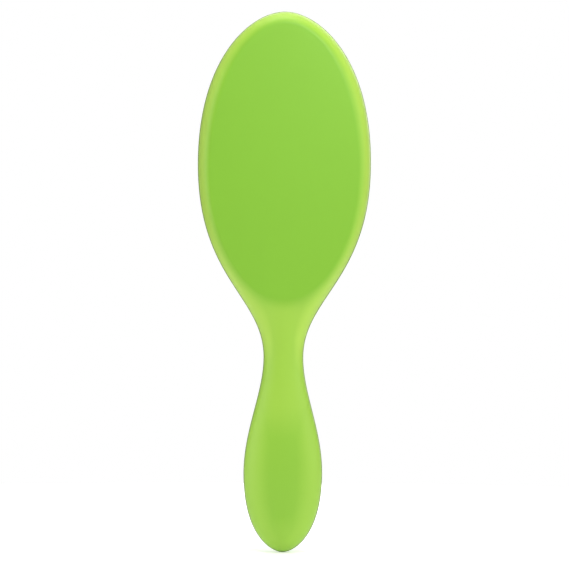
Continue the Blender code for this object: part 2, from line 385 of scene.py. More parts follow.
@dataclass(frozen=True)
class FramePlastic:
    """Dark moulded plastic with a spark-eroded texture."""

    base: Colour = (0.045, 0.045, 0.050, 1)
    scuff: Colour = (0.085, 0.085, 0.090, 1)
    texture_scale: float = 2400
    scuff_scale: float = 120
    texture_depth: float = 0.00003

    def material(self) -> bpy.types.Material:
        """Build the plastic.

        Returns:
            The finished material.
        """
        shader = Shader("frame_plastic")
        texture = shader.noise(self.texture_scale, 3)
        scuffs = shader.noise(self.scuff_scale, 5)
        return shader.surface(
            base_color=shader.blend(scuffs.span(0.55, 0.80), self.base, self.scuff),
            roughness=0.50 + texture * 0.15,
            normal=shader.bump(texture, self.texture_depth, 0.7),
        )


@dataclass(frozen=True)
class OpenCellFoam:
    """Grey foam with open cells of two sizes."""

    base: Colour = (0.34, 0.34, 0.35, 1)
    pit: Colour = (0.10, 0.10, 0.11, 1)
    small_scale: float = 1400
    large_scale: float = 600
    pit_depth: float = 0.0004

    def material(self) -> bpy.types.Material:
        """Build the foam.

        Returns:
            The finished material.
        """
        shader = Shader("foam")
        small = shader.cells(self.small_scale)
        large = shader.cells(self.large_scale)
        pits = small * 0.7 + large * 0.3
        return shader.surface(
            base_color=shader.blend(pits.span(0.15, 0.55), self.base, self.pit),
            roughness=0.95,
            normal=shader.bump(1 - pits, self.pit_depth),
            specular_ior_level=0.2,
        )


@dataclass(frozen=True)
class PressedFibre:
    """Brown card of pressed fibres."""

    base: Colour = (0.36, 0.26, 0.16, 1)
    fibre: Colour = (0.20, 0.135, 0.075, 1)
    fibre_scale: float = 1800
    fibre_depth: float = 0.00006

    def material(self) -> bpy.types.Material:
        """Build the card.

        Returns:
            The finished material.
        """
        shader = Shader("fibre_card")
        along = shader.noise(self.fibre_scale, 4, (1, 1, 0.12))
        across = shader.noise(self.fibre_scale, 4, (0.12, 1, 1))
        fibres = along * 0.5 + across * 0.5
        return shader.surface(
            base_color=shader.blend(fibres.span(0.38, 0.66), self.fibre, self.base),
            roughness=0.85,
            normal=shader.bump(fibres, self.fibre_depth, 0.8),
        )


# ---------------------------------------------------------------------------------------------------------
# Shapes


def ease(share: np.ndarray) -> np.ndarray:
    """Rise from 0 to 1 that starts and ends level, held outside that range.

    Args:
        share: how far along the rise each value is.

    Returns:
        The height of the rise at each of them.
    """
    held = np.clip(share, 0, 1)
    return held * held * (3 - 2 * held)


def stand_up(flat: np.ndarray, depth: np.ndarray | float) -> np.ndarray:
    """Turn points (x, z) and their depths into points (x, y, z)."""
    return np.stack([flat[..., 0], np.broadcast_to(depth, flat.shape[:-1]), flat[..., 1]], axis=-1)


def mesh_object(name: str, points: np.ndarray, faces: Sequence[Sequence[int]] | np.ndarray,
                values: dict[str, np.ndarray] | None = None) -> bpy.types.Object:
    """Make a closed, smooth mesh object from points and faces.

    Args:
        name: the piece's name.
        points: one row of x, y, z for each point.
        faces: point numbers of each face; corners that meet are merged.
        values: numbers for each point, stored on the mesh by name.

    Returns:
        The object, linked to the scene, with its faces pointing outwards.
    """
    mesh = bpy.data.meshes.new(name)
    mesh.from_pydata(points.tolist(), [], [list(face) for face in faces])
    for key, numbers in (values or {}).items():
        mesh.attributes.new(key, "FLOAT", "POINT").data.foreach_set("value", numbers.astype(np.float32))
    made = bmesh.new()
    made.from_mesh(mesh)
    loose = [vert for vert in made.verts if not vert.link_faces]
    bmesh.ops.delete(made, geom=loose, context="VERTS")
    bmesh.ops.remove_doubles(made, verts=made.verts, dist=MERGE_DISTANCE)
    bmesh.ops.dissolve_degenerate(made, edges=made.edges, dist=SLIVER)
    bmesh.ops.recalc_face_normals(made, faces=made.faces)
    made.to_mesh(mesh)
    made.free()
    mesh.shade_smooth()
    mesh.set_sharp_from_angle(angle=CREASE_ANGLE)
    piece = bpy.data.objects.new(name, mesh)
    bpy.context.scene.collection.objects.link(piece)
    return piece


def bridge(rows: int, columns: int, closed_rows: bool, closed_columns: bool) -> np.ndarray:
    """Quads of a grid of points that are numbered row by row.

    Args:
        rows: the number of rows.
        columns: the number of points in a row.
        closed_rows: whether the last row joins the first.
        closed_columns: whether each row joins its own start.

    Returns:
        Four point numbers for each face.
    """
    row = np.arange(rows if closed_rows else rows - 1)
    column = np.arange(columns if closed_columns else columns - 1)
    r, c = (grid.ravel() for grid in np.meshgrid(row, column, indexing="ij"))
    r_next, c_next = (r + 1) % rows, (c + 1) % columns
    corners = ((r, c), (r, c_next), (r_next, c_next), (r_next, c))
    return np.stack([a * columns + b for a, b in corners], axis=1)


def distance_to(line: np.ndarray, points: np.ndarray) -> np.ndarray:
    """Distance from points in a plane to the nearest place on a line of points.

    Args:
        line: one row for each point of the line.
        points: one row for each point to measure.

    Returns:
        One distance for each point.
    """
    start, run = line[:-1], np.diff(line, axis=0)
    length = np.maximum((run**2).sum(axis=1), TINY**2)
    best = np.full(len(points), np.inf)
    for block in np.array_split(np.arange(len(points)), 1 + len(points) // BLOCK):
        offset = points[block, None, :] - start
        share = np.clip((offset * run).sum(axis=2) / length, 0, 1)
        miss = offset - share[..., None] * run
        best[block] = np.sqrt((miss**2).sum(axis=2).min(axis=1))
    return best


def cubic(points: Sequence[tuple[float, float]], share: np.ndarray) -> tuple[np.ndarray, np.ndarray]:
    """Points of a cubic curve, and the unit directions along it.

    Args:
        points: the curve's two ends and the two handles between them.
        share: how far along the curve each point is.

    Returns:
        The points and the directions.
    """
    ends = np.array(points)
    t = share[:, None]
    u = 1 - t
    place = u**3 * ends[0] + 3 * u * u * t * ends[1] + 3 * u * t * t * ends[2] + t**3 * ends[3]
    along = u * u * (ends[1] - ends[0]) + 2 * u * t * (ends[2] - ends[1]) + t * t * (ends[3] - ends[2])
    return place, along / np.linalg.norm(along, axis=1, keepdims=True)


@dataclass
class Outline:
    """Silhouette of the brush and the flat oval of its head, seen square on."""

    tip_z: float = -0.0325
    grip_z: float = 0.0
    waist_z: float = 0.0475
    head_z: float = 0.1272
    top_z: float = 0.1895
    grip_half_width: float = 0.01616
    waist_half_width: float = 0.00816
    head_half_width: float = 0.03557
    tip_bluntness: float = 0.0052
    grip_below: float = 0.0250
    grip_above: float = 0.0179
    waist_below: float = 0.0148
    waist_above: float = 0.0249
    head_below: float = 0.0479
    head_above: float = 0.0436
    top_bluntness: float = 0.0139
    oval_z: float = 0.1242
    oval_half_width: float = 0.0300
    oval_above: float = 0.0595
    oval_below: float = 0.0524
    rim_width: float = 0.0057
    tip_crest_z: float = -0.0185
    steps: tuple[int, int, int, int, int] = (30, 36, 24, 60, 64)
    curve_samples: int = 4001
    oval_samples: int = 721

    @property
    def oval_start(self) -> float:
        """Height of the oval's lower end."""
        return self.oval_z - self.oval_below

    @property
    def neck_row(self) -> int:
        """Number of the edge point that is level with the oval's lower end."""
        return sum(self.steps[:3])

    def edge(self) -> tuple[np.ndarray, np.ndarray]:
        """Follow the silhouette from the tip to the top.

        Returns:
            The edge points (x, z), and at each of them the direction into the brush.
        """
        tip = ((0, self.tip_z), (self.tip_bluntness, self.tip_z),
               (self.grip_half_width, self.grip_z - self.grip_below), (self.grip_half_width, self.grip_z))
        handle = ((self.grip_half_width, self.grip_z), (self.grip_half_width, self.grip_z + self.grip_above),
                  (self.waist_half_width, self.waist_z - self.waist_below),
                  (self.waist_half_width, self.waist_z))
        shoulder = ((self.waist_half_width, self.waist_z),
                    (self.waist_half_width, self.waist_z + self.waist_above),
                    (self.head_half_width, self.head_z - self.head_below),
                    (self.head_half_width, self.head_z))
        crown = ((self.head_half_width, self.head_z), (self.head_half_width, self.head_z + self.head_above),
                 (self.top_bluntness, self.top_z), (0, self.top_z))
        tip_steps, handle_steps, neck_steps, oval_steps, crown_steps = self.steps
        neck = np.linspace(self.waist_z, self.oval_start, neck_steps + 1)[1:]
        turns = np.linspace(0, pi / 2, oval_steps + 1)[1:]
        cheek = self.oval_z - self.oval_below * np.cos(turns)
        fine = np.linspace(0, 1, self.curve_samples)
        heights = cubic(shoulder, fine)[0][:, 1]
        shares = np.interp(np.concatenate([neck, cheek]), heights, fine)
        parts = [cubic(tip, np.arange(tip_steps) / tip_steps),
                 cubic(handle, np.linspace(0, 1, handle_steps + 1)),
                 cubic(shoulder, shares),
                 cubic(crown, np.linspace(0, 1, crown_steps + 1))]
        place = np.concatenate([part[0] for part in parts])
        along = np.concatenate([part[1] for part in parts])
        return place, np.stack([-along[:, 1], along[:, 0]], axis=1)

    def crest(self, edge: np.ndarray) -> np.ndarray:
        """Find where the side that rises from each edge point ends.

        Args:
            edge: the silhouette's points.

        Returns:
            A point (x, z) on the handle's middle or on the oval for each of them.
        """
        x, z = edge[:, 0], edge[:, 1]
        share = (z - self.tip_z) / (self.grip_z - self.tip_z)
        on_tip = self.tip_crest_z + (self.grip_z - self.tip_crest_z) * share
        drop = np.clip((self.oval_z - z) / self.oval_below, 0, 1)
        width = self.oval_half_width * np.sqrt(1 - drop**2)
        angle = np.arctan2((z - self.oval_z) / (self.oval_above + self.rim_width),
                           x / (self.oval_half_width + self.rim_width))
        crest_x = np.where(z <= self.oval_z, width, self.oval_half_width * np.cos(angle))
        crest_z = np.where(z <= self.oval_z, z, self.oval_z + self.oval_above * np.sin(angle))
        return np.stack([crest_x, np.where(z <= self.grip_z, on_tip, crest_z)], axis=1)

    def from_oval(self, points: np.ndarray) -> np.ndarray:
        """Measure how far points lie outside the oval.

        Args:
            points: one row of x, z for each point.

        Returns:
            One distance for each point, 0 inside the oval.
        """
        turn = np.linspace(0, 2 * pi, self.oval_samples)
        reach = np.where(np.sin(turn) > 0, self.oval_above, self.oval_below)
        line = np.stack([self.oval_half_width * np.cos(turn), self.oval_z + reach * np.sin(turn)], axis=1)
        height = points[:, 1] - self.oval_z
        reach = np.where(height > 0, self.oval_above, self.oval_below)
        is_outside = np.hypot(points[:, 0] / self.oval_half_width, height / reach) > 1
        return np.where(is_outside, distance_to(line, points), 0)

    def inset(self, crest: np.ndarray, amount: float) -> np.ndarray:
        """Move points of the oval towards its middle.

        Args:
            crest: points (x, z) of the oval.
            amount: how far the oval's ends and sides move.

        Returns:
            The moved points.
        """
        offset = crest - (0, self.oval_z)
        reach = np.where(offset[:, 1] > 0, self.oval_above, self.oval_below)
        across = np.full(len(crest), 1 - amount / self.oval_half_width)
        shares = np.stack([across, 1 - amount / reach], axis=1)
        return offset * shares + (0, self.oval_z)


@dataclass(frozen=True)
class CoatWear:
    """Where the coat gets thinner: along the edge, on the neck, at the tip and a little off the oval."""

    edge_run: float = 0.8
    grip_side: float = 0.40
    grip_side_top: float = 0.010
    grip_side_run: float = 0.020
    neck_low: float = 0.002
    neck_low_run: float = 0.028
    neck_high: float = 0.012
    neck_high_run: float = 0.020
    tip: float = 0.8
    tip_top: float = 0.006
    tip_run: float = 0.022
    off_oval: float = 0.42
    off_oval_run: float = 0.005
    cover: float = 0.62

    def thinning(self, line: Outline, height: np.ndarray, share: np.ndarray,
                 to_oval: np.ndarray) -> np.ndarray:
        """Work out the coat's thinning on the outer face.

        Args:
            line: the brush's outline.
            height: Z of each point.
            share: how far each of them is from the crest to the edge.
            to_oval: how far each of them lies outside the oval.

        Returns:
            A number from 0, full coat, to 1 for each point.
        """
        off_oval = ease(to_oval / self.off_oval_run)
        neck = (ease((height - line.grip_z - self.neck_low) / self.neck_low_run)
                * ease((line.oval_start + self.neck_high - height) / self.neck_high_run) * off_oval)
        tip = self.tip * ease((line.grip_z - self.tip_top - height) / self.tip_run)
        foot = np.maximum(tip, self.off_oval * off_oval)
        below = ease((line.waist_z + self.grip_side_top - height) / self.grip_side_run)
        side = ease(share / self.edge_run) * (1 - self.grip_side * below)
        return np.maximum(side, self.cover * np.maximum(neck, foot))


@dataclass
class BodyShell:
    """One moulded half of the body, from the parting line to the crest, with its wall and rounded lips.

    A section's power says how full it is: 2 is an ellipse. From the waist up the side flows round the oval,
    a form that it takes over blend_share of the neck. The rim is drawn in by reveal at the parting line.
    """

    side: Side
    outline: Outline
    head_depth: float
    head_power: float
    reveal: float = 0.0
    handle_power: float = 2.0
    tip_depth: float = 0.0080
    grip_depth: float = 0.0088
    waist_depth: float = 0.0063
    wall: float = 0.0022
    lip: float = 0.0020
    land: float = 0.0020
    land_edge: float = 0.0005
    land_soften: float = 0.3
    break_round: float = 0.0025
    blend_share: float = 0.6
    lip_steps: int = 3
    wear: CoatWear = field(default_factory=CoatWear)
    parting_gap: float = 0.00005
    parting_round: float = 0.00025
    tongue_play: float = 0.00015
    tongue_width: float = 0.0009
    tongue_depth: float = 0.0008
    side_steps: int = 26
    wall_steps: int = 8

    @property
    def node(self) -> str:
        """Name of the solid that this shell stands for."""
        return "back_shell" if self.side is Side.BACK else "front_shell"

    def depth(self, height: np.ndarray) -> np.ndarray:
        """Depth of the body along its middle.

        Args:
            height: Z of each place.

        Returns:
            The distance from the parting line to the face at each of them.
        """
        line = self.outline
        tip = self.tip_depth + (self.grip_depth - self.tip_depth) * ease(
            (height - line.tip_crest_z) / (line.grip_z - line.tip_crest_z))
        handle = self.grip_depth + (self.waist_depth - self.grip_depth) * ease(
            (height - line.grip_z) / (line.waist_z - line.grip_z))
        share = np.clip((height - line.waist_z) / (line.oval_start - line.waist_z), 0, 1)
        neck = self.waist_depth + (self.head_depth - self.waist_depth) * share**2
        return np.where(height <= line.grip_z, tip, np.where(height <= line.waist_z, handle, neck))

    def _rise(self, edge: np.ndarray, crest: np.ndarray, start: float, depth: np.ndarray,
              power: np.ndarray, steps: int) -> np.ndarray:
        """Rounded side from the parting line to the crest.

        Args:
            edge: the silhouette's points.
            crest: where each section's side ends.
            start: depth at the edge.
            depth: depth at each crest.
            power: how full each section is.
            steps: the number of steps from edge to crest.

        Returns:
            Rows of x, y, z for each edge point.
        """
        turn = np.linspace(0, pi / 2, steps + 1)[None, :]
        out = np.clip(np.cos(turn), 0, 1) ** (2 / power[:, None])
        up = np.sin(turn) ** (2 / power[:, None])
        flat = crest[:, None, :] + (edge - crest)[:, None, :] * out[..., None]
        return stand_up(flat, start + (depth[:, None] - start) * up)

    def _lip(self, edge: np.ndarray, inward: np.ndarray) -> np.ndarray:
        """Small rounding where the shell meets its partner, from inside the parting line outwards.

        Args:
            edge: the points of the shell's rim.
            inward: the direction into the brush at each of them.

        Returns:
            Rows of x, y, z for each edge point.
        """
        turn = np.linspace(0, pi / 2, self.lip_steps + 1)[None, :-1]
        radius = self.parting_round
        flat = edge[:, None, :] + inward[:, None, :] * (radius * (1 - np.sin(turn)))[..., None]
        return stand_up(flat, self.parting_gap + radius * (1 - np.cos(turn)))

    def _inner_wall(self, edge: np.ndarray, inward: np.ndarray, crest: np.ndarray, floor: np.ndarray,
                    power: np.ndarray) -> np.ndarray:
        """Inside of the wall, from the crest to the parting line; the front half ends in a tongue.

        Args:
            edge: the silhouette's points.
            inward: the direction into the brush at each of them.
            crest: where each section's side ends.
            floor: depth of the inside at the crest.
            power: how full each section is.

        Returns:
            Points for each section, from the crest down.
        """
        gap = self.parting_gap
        if self.side is Side.BACK:
            return self._rise(edge + inward * self.wall, crest, gap, floor, power, self.wall_steps)[:, ::-1]
        near = edge + inward * (self.wall + self.tongue_play)
        far = near + inward * self.tongue_width
        wall = self._rise(far, crest, gap, floor, power, self.wall_steps)[:, ::-1]
        corners = [(far, -self.tongue_depth), (near, -self.tongue_depth), (near, gap)]
        tongue = np.stack([stand_up(flat, y) for flat, y in corners], axis=1)
        return np.concatenate([wall, tongue], axis=1)

    def _bridge_points(self, crest: np.ndarray, depth: np.ndarray, floor: np.ndarray) -> np.ndarray:
        """Points between the crest's outer and inner face: the plateau's middle, or the opening's edge.

        Args:
            crest: where each section's side ends.
            depth: depth at each crest.
            floor: depth of the inside at each crest.

        Returns:
            Rows of x, y, z for each section.
        """
        if self.side is Side.BACK:
            middle = np.stack([np.zeros(len(crest)), crest[:, 1]], axis=1)
            levels = [(middle, depth), (middle, floor)]
        else:
            line = self.outline
            edge = self.land_edge
            soft = edge * self.land_soften
            levels = [(line.inset(crest, self.land - edge), depth),
                      (line.inset(crest, self.land - soft), depth - soft),
                      (line.inset(crest, self.land), depth - edge),
                      (line.inset(crest, self.land), floor)]
        return np.stack([stand_up(flat, height) for flat, height in levels], axis=1)

    def _outside(self, edge: np.ndarray, crest: np.ndarray, depth: np.ndarray,
                 power: np.ndarray) -> tuple[np.ndarray, np.ndarray, np.ndarray]:
        """Outer face from the parting line to the crest.

        On the handle each section is one rounded side. From the waist up, the height of a point depends
        on its distances to the silhouette and to the oval, so the neck flows round the oval.

        Args:
            edge: the silhouette's points.
            crest: where each section's side ends.
            depth: depth at each crest.
            power: how full each section is.

        Returns:
            Points for each section, how far each point is from the crest to the edge, and how far it lies
            outside the oval.
        """
        line = self.outline
        start = self.parting_gap + self.parting_round
        turn = np.linspace(0, pi / 2, self.side_steps + 1)[None, :]
        out = np.clip(np.cos(turn), 0, 1) ** (2 / power[:, None])
        flat = crest[:, None, :] + (edge - crest)[:, None, :] * out[..., None]
        points = flat.reshape(-1, 2)
        x, z = points[:, 0], points[:, 1]
        silhouette = np.concatenate([edge * (-1, 1), edge[::-1]])
        to_edge = distance_to(silhouette, points)
        to_oval = line.from_oval(points)
        to_middle = np.hypot(x, np.clip(z - line.oval_start, 0, None))
        to_crest = to_oval * to_middle / np.maximum(np.hypot(to_oval, to_middle), TINY)
        flowing = (to_crest / np.maximum(to_crest + to_edge, TINY)).reshape(out.shape)
        height = z.reshape(out.shape)
        neck_length = line.oval_start - line.waist_z
        above = ease((height - line.waist_z) / (self.blend_share * neck_length))
        share = out + (flowing - out) * above
        fall = np.hypot(to_oval, self.break_round) - self.break_round
        left = np.clip(1 - fall / neck_length, 0, 1).reshape(out.shape)
        neck_depth = self.waist_depth + (self.head_depth - self.waist_depth) * left**2
        full = np.where(height > line.waist_z, neck_depth, depth[:, None])
        rise = np.clip(1 - share ** power[:, None], 0, 1) ** (1 / power[:, None])
        return stand_up(flat, start + (full - start) * rise), share, to_oval.reshape(out.shape)

    def build(self) -> bpy.types.Object:
        """Loft the right half section by section, and mirror it.

        Returns:
            The whole shell, with its coat's thinning and its seam marked on the mesh.
        """
        line = self.outline
        edge, inward = line.edge()
        crest = line.crest(edge)
        depth = self.depth(crest[:, 1])
        floor = depth - (self.wall if self.side is Side.BACK else self.lip)
        lean = ease((edge[:, 1] - line.waist_z) / (line.head_z - line.waist_z))
        power = self.handle_power + (self.head_power - self.handle_power) * lean
        rim = edge + inward * self.reveal
        outer, share, to_oval = self._outside(rim, crest, depth, power)
        inner = self._inner_wall(edge, inward, crest, floor, power)
        middle = self._bridge_points(crest, depth, floor)
        lip = self._lip(rim, inward)
        section = np.concatenate([lip, outer, middle, inner], axis=1)
        rows, columns = section.shape[:2]
        first = lip.shape[1] + self.side_steps
        last = first + middle.shape[1]
        faces = bridge(rows, columns, False, True)
        row, column = faces[:, 0] // columns, faces[:, 0] % columns
        joins_middle = (column >= first) & (column <= last)
        unwanted = joins_middle & (row < line.neck_row)
        if self.side is Side.BACK:
            unwanted |= column == first + 1
        points = section.reshape(-1, 3) * (1, self.side.value, 1)
        marks = self._marks(outer[..., 2], share, to_oval, lip.shape[1], columns)
        return self._whole(points, faces[~unwanted], marks)

    def _marks(self, height: np.ndarray, share: np.ndarray, to_oval: np.ndarray, lip: int,
               columns: int) -> dict[str, np.ndarray]:
        """Numbers for each point of the right half that the coat's colour follows.

        Args:
            height: Z of the points of the outer face.
            share: how far each of them is from the crest to the edge.
            to_oval: how far each of them lies outside the oval.
            lip: the number of points on the lip.
            columns: the number of points in a section.

        Returns:
            The thinning of the coat and the nearness of the seam, by name.
        """
        thinning = np.ones((len(height), columns))
        thinning[:, lip:] = 0
        thinning[:, lip:lip + height.shape[1]] = self.wear.thinning(self.outline, height, share, to_oval)
        seam = np.zeros_like(thinning)
        seam[:, :lip] = 1
        seam[:, -1] = 1
        return {"coat_thinning": thinning.ravel(), "seam": seam.ravel()}

    def _whole(self, points: np.ndarray, faces: np.ndarray, marks: dict[str, np.ndarray]) -> bpy.types.Object:
        """Join the right half and its mirror image, and merge them along the middle.

        Args:
            points: one row of x, y, z for each point of the right half.
            faces: its faces.
            marks: numbers for each of its points, by name.

        Returns:
            The whole shell.
        """
        count = len(points)
        both = np.concatenate([points, points * (-1, 1, 1)])
        all_faces = np.concatenate([faces, faces[:, ::-1] + count])
        values = {key: np.concatenate([numbers, numbers]) for key, numbers in marks.items()}
        return mesh_object(f"{self.node}_moulding", both, all_faces, values)


@dataclass
class OvalSolid:
    """A solid through a stack of ovals that are parallel to the edge of the head's opening."""

    name: str
    outline: Outline
    land: float = 0.0020
    points: int = 168

    def ring(self, inset: float, y: float, scale: float = 1.0) -> np.ndarray:
        """Make one oval of the stack.

        Args:
            inset: how far it is drawn in from the opening's edge.
            y: its depth.
            scale: its size about its middle, after it is drawn in.

        Returns:
            One row of x, y, z for each point.
        """
        line = self.outline
        angle = np.arange(self.points) * 2 * pi / self.points
        half_width = line.oval_half_width - self.land - inset
        reach = np.where(np.sin(angle) > 0, line.oval_above, line.oval_below) - self.land - inset
        x = scale * half_width * np.cos(angle)
        z = line.oval_z + scale * reach * np.sin(angle)
        return stand_up(np.stack([x, z], axis=1), y)

    def rings(self, *levels: tuple[float, float]) -> list[np.ndarray]:
        """Make one oval for each pair of inset and depth."""
        return [self.ring(inset, y) for inset, y in levels]

    def solid(self, rings: Sequence[np.ndarray], is_ring: bool = False) -> bpy.types.Object:
        """Join the stack into a closed mesh.

        Args:
            rings: the ovals, in order.
            is_ring: whether the last oval joins the first; else both ends are closed flat.

        Returns:
            The mesh object.
        """
        stack = np.concatenate(rings)
        faces: list[Sequence[int]] = bridge(len(rings), self.points, is_ring, True).tolist()
        if not is_ring:
            last = len(rings) - 1
            faces.append(list(range(self.points))[::-1])
            faces.append([last * self.points + k for k in range(self.points)])
        return mesh_object(self.name, stack, faces)

    def rounded(self, low: float, high: float, inset: float, radius: float, swell: float,
                steps: int) -> list[np.ndarray]:
        """Make the ovals of a plate with rounded edges.

        Args:
            low: depth of its back.
            high: depth of its front.
            inset: how far its side is drawn in from the opening's edge.
            radius: radius of its edges.
            swell: how far the middle of its side stands out.
            steps: the number of ovals round each edge and along the side.

        Returns:
            The ovals from back to front.
        """
        rings = []
        for turn in np.linspace(0, pi / 2, steps):
            rings.append(self.ring(inset + radius * (1 - np.sin(turn)), low + radius * (1 - np.cos(turn))))
        for share in np.linspace(0, 1, steps)[1:-1]:
            bulge = 4 * share * (1 - share)
            rings.append(self.ring(inset - swell * bulge, low + radius + (high - low - 2 * radius) * share))
        for turn in np.linspace(pi / 2, 0, steps):
            rings.append(self.ring(inset + radius * (1 - np.sin(turn)), high - radius * (1 - np.cos(turn))))
        return rings


@dataclass
class Cushion:
    """The rubber pad, the frame that clamps it, the foam and the card behind it.

    An inset is measured inwards from the edge of the head's opening.
    """

    outline: Outline
    flange: float = 0.0023
    flange_thickness: float = 0.0012
    clearance: float = 0.0004
    side_wall: float = 0.0022
    shoulder: float = 0.0026
    shoulder_steps: int = 9
    rise: float = 0.0022
    crown: float = 0.0016
    crown_scales: tuple[float, float, int] = (0.97, 0.06, 16)
    groove: tuple[tuple[float, float], ...] = (
        (0.10, 0.0), (0.22, -0.00016), (0.40, -0.00022), (0.58, -0.00016), (0.70, 0.0))
    groove_width: float = 0.0020
    groove_lift: float = 0.00002
    field_inset: float = 0.0018
    pad_edge: float = 0.0003
    pad_play: float = 0.0003
    card_play: float = 0.0007
    hollow_round: float = 0.0006
    hollow_scale: float = 0.05
    frame_inset: float = 0.0014
    frame_step: float = 0.0014
    frame_flange: float = 0.0015
    frame_edge: float = 0.0002
    card_inset: float = 0.0036
    card_edge: float = 0.0002
    card_steps: int = 4
    foam_play: float = 0.0004
    foam_edge: float = 0.0012
    foam_swell: float = 0.0004
    foam_steps: int = 7

    def pad(self) -> bpy.types.Object:
        """Make the domed pad: hollow underside, flange, rounded shoulder with a flex groove, gentle crown.

        Returns:
            The pad's mesh object.
        """
        low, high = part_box("cushion_pad")
        solid = OvalSolid("cushion_pad_rubber", self.outline)
        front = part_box("cushion_frame")[1].y + self.pad_play + self.flange_thickness
        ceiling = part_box("pin_row_01")[0].y + self.card_play
        land = high.y - self.crown - self.rise
        hollow = self.clearance + self.side_wall
        edge = self.pad_edge
        rings = [solid.ring(hollow + self.hollow_round, ceiling, self.hollow_scale)]
        rings += solid.rings((hollow + self.hollow_round, ceiling), (hollow, ceiling - self.hollow_round),
                             (hollow, low.y), (-self.flange + edge, low.y), (-self.flange, low.y + edge),
                             (-self.flange, front - edge), (-self.flange + edge, front),
                             (self.clearance + edge, front), (self.clearance, front + edge))
        for turn in np.linspace(0, pi / 2, self.shoulder_steps):
            inset = self.clearance + self.shoulder * (1 - np.cos(turn))
            rings.append(solid.ring(inset, land + self.rise * np.sin(turn)))
        shoulder_end = self.clearance + self.shoulder
        top = high.y - self.crown
        for share, dip in self.groove:
            depth = top + dip + self.groove_lift * share
            rings.append(solid.ring(shoulder_end + share * self.groove_width, depth))
        for scale in np.linspace(*self.crown_scales):
            rings.append(solid.ring(shoulder_end + self.field_inset, self._crown_depth(scale, top), scale))
        return solid.solid(rings)

    def _crown_depth(self, scale: float | np.ndarray, top: float) -> float | np.ndarray:
        """Depth of the pad's face on an oval scaled about its middle."""
        return top + self.crown * (1 - scale**2)

    def face_depth(self, points: np.ndarray) -> np.ndarray:
        """Find the depth of the pad's face.

        Args:
            points: one row of x, y, z for each place.

        Returns:
            The face's Y at each of them.
        """
        line = self.outline
        inset = OvalSolid.land + self.clearance + self.shoulder + self.field_inset
        across = points[:, 0] / (line.oval_half_width - inset)
        reach = np.where(points[:, 2] > line.oval_z, line.oval_above, line.oval_below) - inset
        scale = np.hypot(across, (points[:, 2] - line.oval_z) / reach)
        return self._crown_depth(scale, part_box("cushion_pad")[1].y - self.crown)

    def frame(self) -> bpy.types.Object:
        """Make the L-shaped oval frame that stands on the back shell and clamps the pad's flange.

        Returns:
            The frame's mesh object.
        """
        low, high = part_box("cushion_frame")
        solid = OvalSolid("cushion_frame_moulding", self.outline)
        outer = -(self.flange - self.frame_step)
        inner = self.frame_inset
        step = high.y - self.frame_flange
        edge = self.frame_edge
        rings = solid.rings((inner, low.y + edge), (inner - edge, low.y), (outer + edge, low.y),
                            (outer, low.y + edge), (outer, step), (-self.flange + edge, step),
                            (-self.flange, step + edge), (-self.flange, high.y - edge),
                            (-self.flange + edge, high.y), (inner - edge, high.y), (inner, high.y - edge))
        return solid.solid(rings, is_ring=True)

    def foam(self) -> bpy.types.Object:
        """Make the foam block behind the card, slightly swollen between its faces.

        Returns:
            The foam's mesh object.
        """
        low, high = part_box("foam_pad")
        solid = OvalSolid("foam_insert", self.outline)
        return solid.solid(solid.rounded(low.y, high.y, self.card_inset + self.foam_play, self.foam_edge,
                                         self.foam_swell, self.foam_steps))

    def card(self) -> bpy.types.Object:
        """Make the fibre card behind the staple crowns, with its cut edge slightly rounded.

        Returns:
            The card's mesh object.
        """
        low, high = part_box("pin_card")
        solid = OvalSolid("pin_backing_card", self.outline)
        rings = solid.rounded(low.y, high.y, self.card_inset, self.card_edge, 0.0, self.card_steps)
        return solid.solid(rings)


# ---------------------------------------------------------------------------------------------------------
# Geometry Nodes


